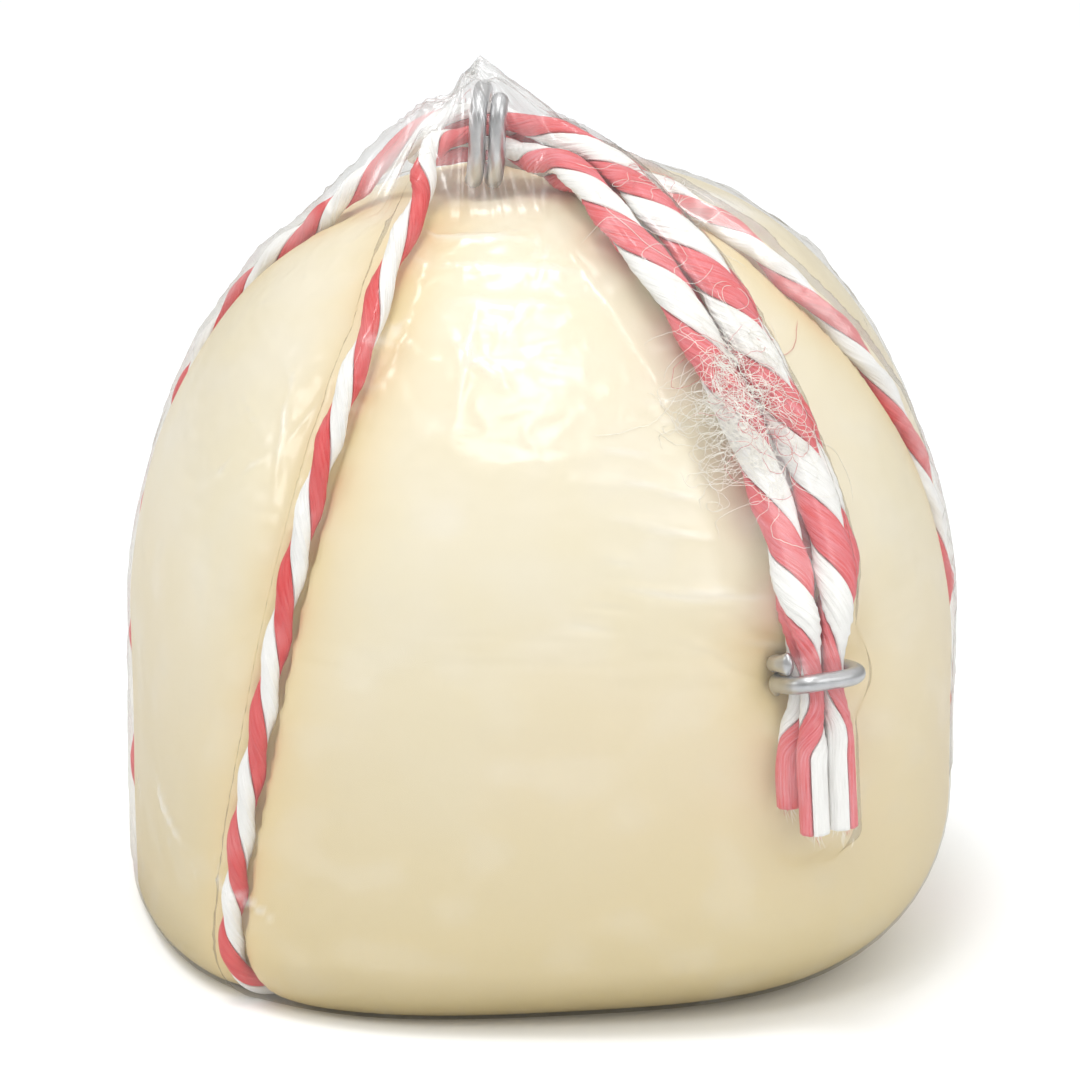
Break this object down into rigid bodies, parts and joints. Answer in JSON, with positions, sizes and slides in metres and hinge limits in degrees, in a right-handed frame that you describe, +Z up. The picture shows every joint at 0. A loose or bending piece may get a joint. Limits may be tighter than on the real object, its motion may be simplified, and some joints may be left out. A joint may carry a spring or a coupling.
{
  "type": "provoleta cheese",
  "caption": "Small domed stretched-curd cheese with a flat base, tied round with red and white twine, clipped at the top and sealed in clear shrink film.",
  "frame": {"origin": "middle of the cheese's flat base, on the surface that it stands on", "axes": "+Z up, from the base to the gathered peak of the film. -Y is the front, where one strand of twine and the twine's tail come down. +X is the right."},
  "size_m": [0.1211, 0.1207, 0.1251],
  "materials": {
    "cheese": "smooth, slightly translucent cream cheese",
    "twine_red": "soft spun red ply",
    "twine_white": "soft spun white ply",
    "clip_wire": "dull drawn wire",
    "clear_film": "clear glossy shrink film"
  },
  "bodies": {
    "root": {"cheese": "cheese", "twine_one_red": "twine_red", "twine_one_white": "twine_white", "twine_two_red": "twine_red", "twine_two_white": "twine_white", "clip_top": "clip_wire", "clip_tail": "clip_wire", "film": "clear_film"}
  },
  "joints": []
}
